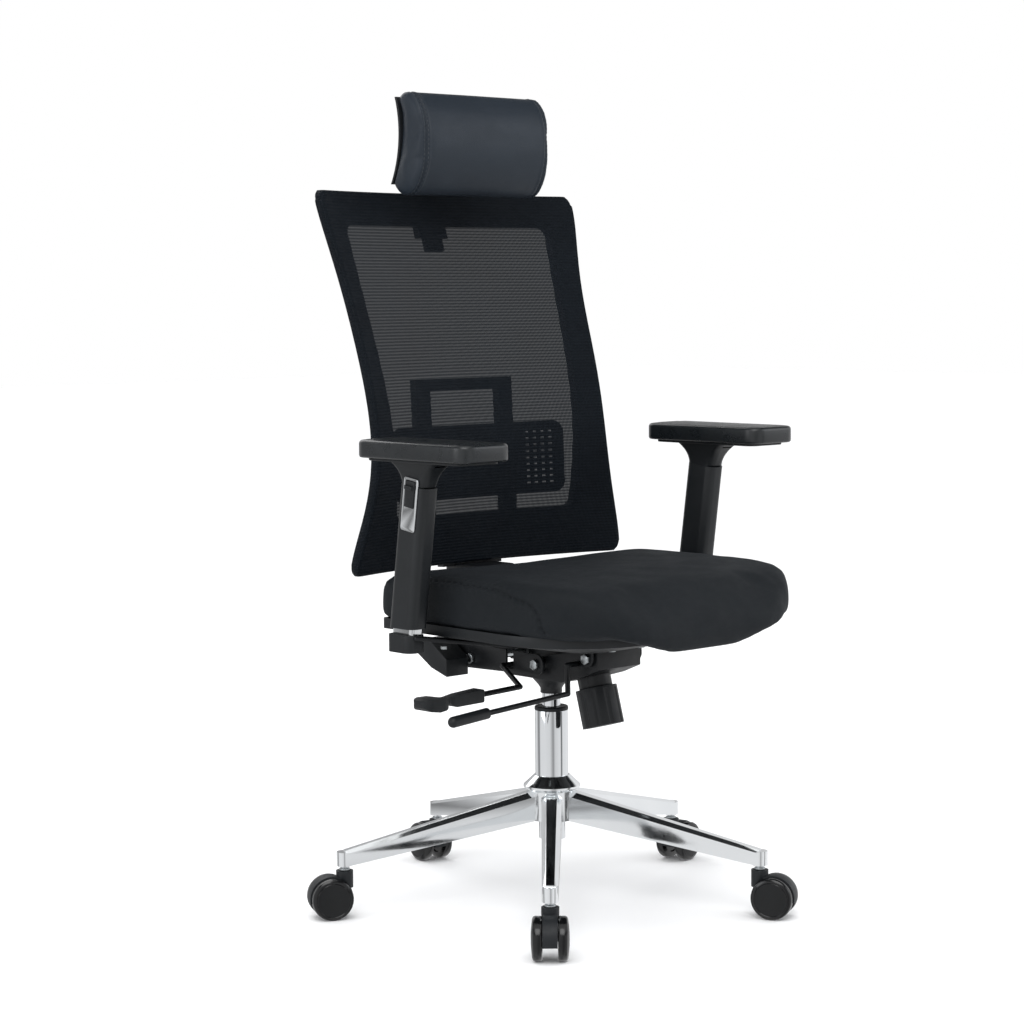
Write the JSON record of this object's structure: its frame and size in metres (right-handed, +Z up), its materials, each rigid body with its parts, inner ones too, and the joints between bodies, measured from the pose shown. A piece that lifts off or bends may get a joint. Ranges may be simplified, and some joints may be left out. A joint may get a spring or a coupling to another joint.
{
  "type": "swivel office chair",
  "caption": "High-back swivel office chair with mesh back, headrest, adjustable arms, gas lift and star base on casters.",
  "frame": {"origin": "on the floor, on the axis of the gas lift column", "axes": "+Z up; -Y is where the sitter faces; +X is the sitter's left"},
  "size_m": [0.7213, 0.7161, 1.2223],
  "materials": {
    "polished_aluminium": "polished die casting, brushed along the leg sides",
    "chrome_tube": "hard chrome plated tube",
    "black_acetal": "moulded, fine matt",
    "bearing_steel": "ground",
    "spring_steel": "drawn wire, oiled",
    "zinc_plated_steel": "bright zinc plated",
    "caster_nylon": "moulded, fine matt",
    "caster_tread": "moulded, gloss rim",
    "black_steel": "black powder coat, semi matt",
    "moulded_black": "moulded, fine matt grain",
    "seat_fabric": "woven polyester, dull",
    "chromed_post": "chromed",
    "arm_nylon": "moulded, fine matt grain",
    "chromed_plastic": "chromed ABS, satin",
    "arm_button_plastic": "moulded, satin",
    "arm_pad_polyurethane": "self-skinned polyurethane foam, matt",
    "frame_nylon": "glass-filled nylon, matt",
    "mesh_fabric": "knitted mesh, see-through",
    "lumbar_plastic": "moulded, matt",
    "headrest_leather": "smooth bonded leather, low sheen"
  },
  "bodies": {
    "base": {"star_base": "polished_aluminium", "column_tube": "chrome_tube", "column_bush": "black_acetal", "thrust_bearing": "bearing_steel", "retaining_clip": "spring_steel", "caster_stems": "zinc_plated_steel"},
    "spindle": {"piston_rod": "bearing_steel"},
    "mechanism": {"gas_tube": "chrome_tube", "mechanism_housing": "black_steel", "spring_cup": "black_steel", "tension_spring": "spring_steel", "pivot_bolts": "zinc_plated_steel"},
    "valve_pin": {"valve_pin": "bearing_steel"},
    "height_lever": {"height_lever_rod": "black_steel", "height_lever_paddle": "moulded_black"},
    "lock_lever": {"lock_lever_rod": "black_steel", "lock_lever_grip": "moulded_black"},
    "tension_knob": {"tension_knob": "moulded_black", "tension_rod": "zinc_plated_steel"},
    "seat": {"seat_plate": "black_steel", "seat_pan": "moulded_black", "seat_screws": "zinc_plated_steel", "seat_cushion": "seat_fabric", "arm_bracket_right": "black_steel", "arm_post_right": "chromed_post", "arm_end_cap_right": "moulded_black", "arm_bracket_left": "black_steel", "arm_post_left": "chromed_post", "arm_end_cap_left": "moulded_black"},
    "back": {"back_frame": "frame_nylon", "back_mesh": "mesh_fabric", "back_spine": "frame_nylon", "back_screws": "zinc_plated_steel", "back_bracket": "black_steel", "bracket_cover": "moulded_black", "link_pin": "zinc_plated_steel"},
    "lumbar": {"lumbar_pad": "lumbar_plastic"},
    "headrest_slider": {"headrest_post": "black_steel"},
    "headrest": {"headrest_shell": "moulded_black", "headrest_cushion": "headrest_leather"},
    "caster_1": {"caster_hood_1": "caster_nylon"},
    "wheels_1": {"caster_wheels_1": "caster_tread"},
    "caster_2": {"caster_hood_2": "caster_nylon"},
    "wheels_2": {"caster_wheels_2": "caster_tread"},
    "caster_3": {"caster_hood_3": "caster_nylon"},
    "wheels_3": {"caster_wheels_3": "caster_tread"},
    "caster_4": {"caster_hood_4": "caster_nylon"},
    "wheels_4": {"caster_wheels_4": "caster_tread"},
    "caster_5": {"caster_hood_5": "caster_nylon"},
    "wheels_5": {"caster_wheels_5": "caster_tread"},
    "arm_right": {"arm_sleeve_right": "arm_nylon", "arm_bezel_right": "chromed_plastic"},
    "arm_button_right": {"arm_button_right": "arm_button_plastic"},
    "arm_pad_right": {"arm_pad_plate_right": "moulded_black", "arm_pad_right": "arm_pad_polyurethane"},
    "arm_left": {"arm_sleeve_left": "arm_nylon", "arm_bezel_left": "chromed_plastic"},
    "arm_button_left": {"arm_button_left": "arm_button_plastic"},
    "arm_pad_left": {"arm_pad_plate_left": "moulded_black", "arm_pad_left": "arm_pad_polyurethane"}
  },
  "joints": [
    {"name": "swivel", "type": "hinge", "parent": "base", "child": "spindle", "pos_m": [0, 0, 0.109], "axis": [0, 0, 1], "continuous": true},
    {"name": "lift", "type": "slide", "parent": "spindle", "child": "mechanism", "axis": [0, 0, 1], "range_m": [-0.015, 0.085]},
    {"name": "caster_1_swivel", "type": "hinge", "parent": "base", "child": "caster_1", "pos_m": [-0.22281, -0.23316, 0.06], "axis": [0, 0, 1], "continuous": true},
    {"name": "wheels_1_roll", "type": "hinge", "parent": "caster_1", "child": "wheels_1", "pos_m": [-0.23801, -0.24906, 0.031], "axis": [0.723, -0.6909, 0], "continuous": true},
    {"name": "caster_2_swivel", "type": "hinge", "parent": "base", "child": "caster_2", "pos_m": [0.15289, -0.28395, 0.06], "axis": [0, 0, 1], "continuous": true},
    {"name": "wheels_2_roll", "type": "hinge", "parent": "caster_2", "child": "wheels_2", "pos_m": [0.16332, -0.30332, 0.031], "axis": [0.8805, 0.4741, 0], "continuous": true},
    {"name": "caster_3_swivel", "type": "hinge", "parent": "base", "child": "caster_3", "pos_m": [0.3173, 0.05766, 0.06], "axis": [0, 0, 1], "continuous": true},
    {"name": "wheels_3_roll", "type": "hinge", "parent": "caster_3", "child": "wheels_3", "pos_m": [0.33895, 0.0616, 0.031], "axis": [-0.1788, 0.9839, 0], "continuous": true},
    {"name": "caster_4_swivel", "type": "hinge", "parent": "base", "child": "caster_4", "pos_m": [0.04321, 0.31959, 0.06], "axis": [0, 0, 1], "continuous": true},
    {"name": "wheels_4_roll", "type": "hinge", "parent": "caster_4", "child": "wheels_4", "pos_m": [0.04616, 0.34139, 0.031], "axis": [-0.991, 0.134, 0], "continuous": true},
    {"name": "caster_5_swivel", "type": "hinge", "parent": "base", "child": "caster_5", "pos_m": [-0.2906, 0.13986, 0.06], "axis": [0, 0, 1], "continuous": true},
    {"name": "wheels_5_roll", "type": "hinge", "parent": "caster_5", "child": "wheels_5", "pos_m": [-0.31042, 0.1494, 0.031], "axis": [-0.4337, -0.9011, 0], "continuous": true},
    {"name": "height_lever_pull", "type": "hinge", "parent": "mechanism", "child": "height_lever", "pos_m": [-0.05, 0.03, 0.364], "axis": [0, 1, 0], "range_deg": [0, 3], "stiffness_Nm_per_rad": 20, "springref_deg": -1.15},
    {"name": "valve_press", "type": "slide", "parent": "mechanism", "child": "valve_pin", "axis": [0, 0, -1], "range_m": [0, 0.0025]},
    {"name": "lock_lever_turn", "type": "hinge", "parent": "mechanism", "child": "lock_lever", "pos_m": [-0.044, -0.105, 0.378], "axis": [1, 0, 0], "range_deg": [0, 12]},
    {"name": "tension_turn", "type": "hinge", "parent": "mechanism", "child": "tension_knob", "pos_m": [0, -0.097, 0.337], "axis": [0, 0.2756, 0.9613], "continuous": true},
    {"name": "recline", "type": "hinge", "parent": "mechanism", "child": "back", "pos_m": [0, -0.028, 0.37], "axis": [-1, 0, 0], "range_deg": [0, 18], "stiffness_Nm_per_rad": 180, "springref_deg": -25.78},
    {"name": "seat_tilt", "type": "hinge", "parent": "mechanism", "child": "seat", "pos_m": [0, -0.13, 0.388], "axis": [-1, 0, 0], "range_deg": [0, 10.5]},
    {"name": "lumbar_height", "type": "slide", "parent": "back", "child": "lumbar", "axis": [0, 0.0558, 0.9984], "range_m": [-0.015, 0.02]},
    {"name": "headrest_height", "type": "slide", "parent": "back", "child": "headrest_slider", "axis": [0, 0.2873, 0.9578], "range_m": [-0.01, 0.05]},
    {"name": "headrest_tilt", "type": "hinge", "parent": "headrest_slider", "child": "headrest", "pos_m": [0, 0.226, 1.13], "axis": [1, 0, 0], "range_deg": [-20, 20]},
    {"name": "arm_height_right", "type": "slide", "parent": "seat", "child": "arm_right", "axis": [0, -0.1392, 0.9903], "range_m": [-0.004, 0.066]},
    {"name": "arm_button_press_right", "type": "slide", "parent": "arm_right", "child": "arm_button_right", "axis": [1, 0, 0], "range_m": [0, 0.003], "stiffness_N_per_m": 900, "springref_m": -0.001},
    {"name": "arm_pad_slide_right", "type": "slide", "parent": "arm_right", "child": "arm_pad_right", "axis": [0, -1, 0], "range_m": [-0.03, 0.03]},
    {"name": "arm_height_left", "type": "slide", "parent": "seat", "child": "arm_left", "axis": [0, -0.1392, 0.9903], "range_m": [-0.004, 0.066]},
    {"name": "arm_button_press_left", "type": "slide", "parent": "arm_left", "child": "arm_button_left", "axis": [-1, 0, 0], "range_m": [0, 0.003], "stiffness_N_per_m": 900, "springref_m": -0.001},
    {"name": "arm_pad_slide_left", "type": "slide", "parent": "arm_left", "child": "arm_pad_left", "axis": [0, -1, 0], "range_m": [-0.03, 0.03]}
  ],
  "couplings": [
    {"joint": "seat_tilt", "follows": "recline", "ratio": 0.58},
    {"joint": "valve_press", "follows": "height_lever_pull", "m_per_rad": 0.0477}
  ]
}
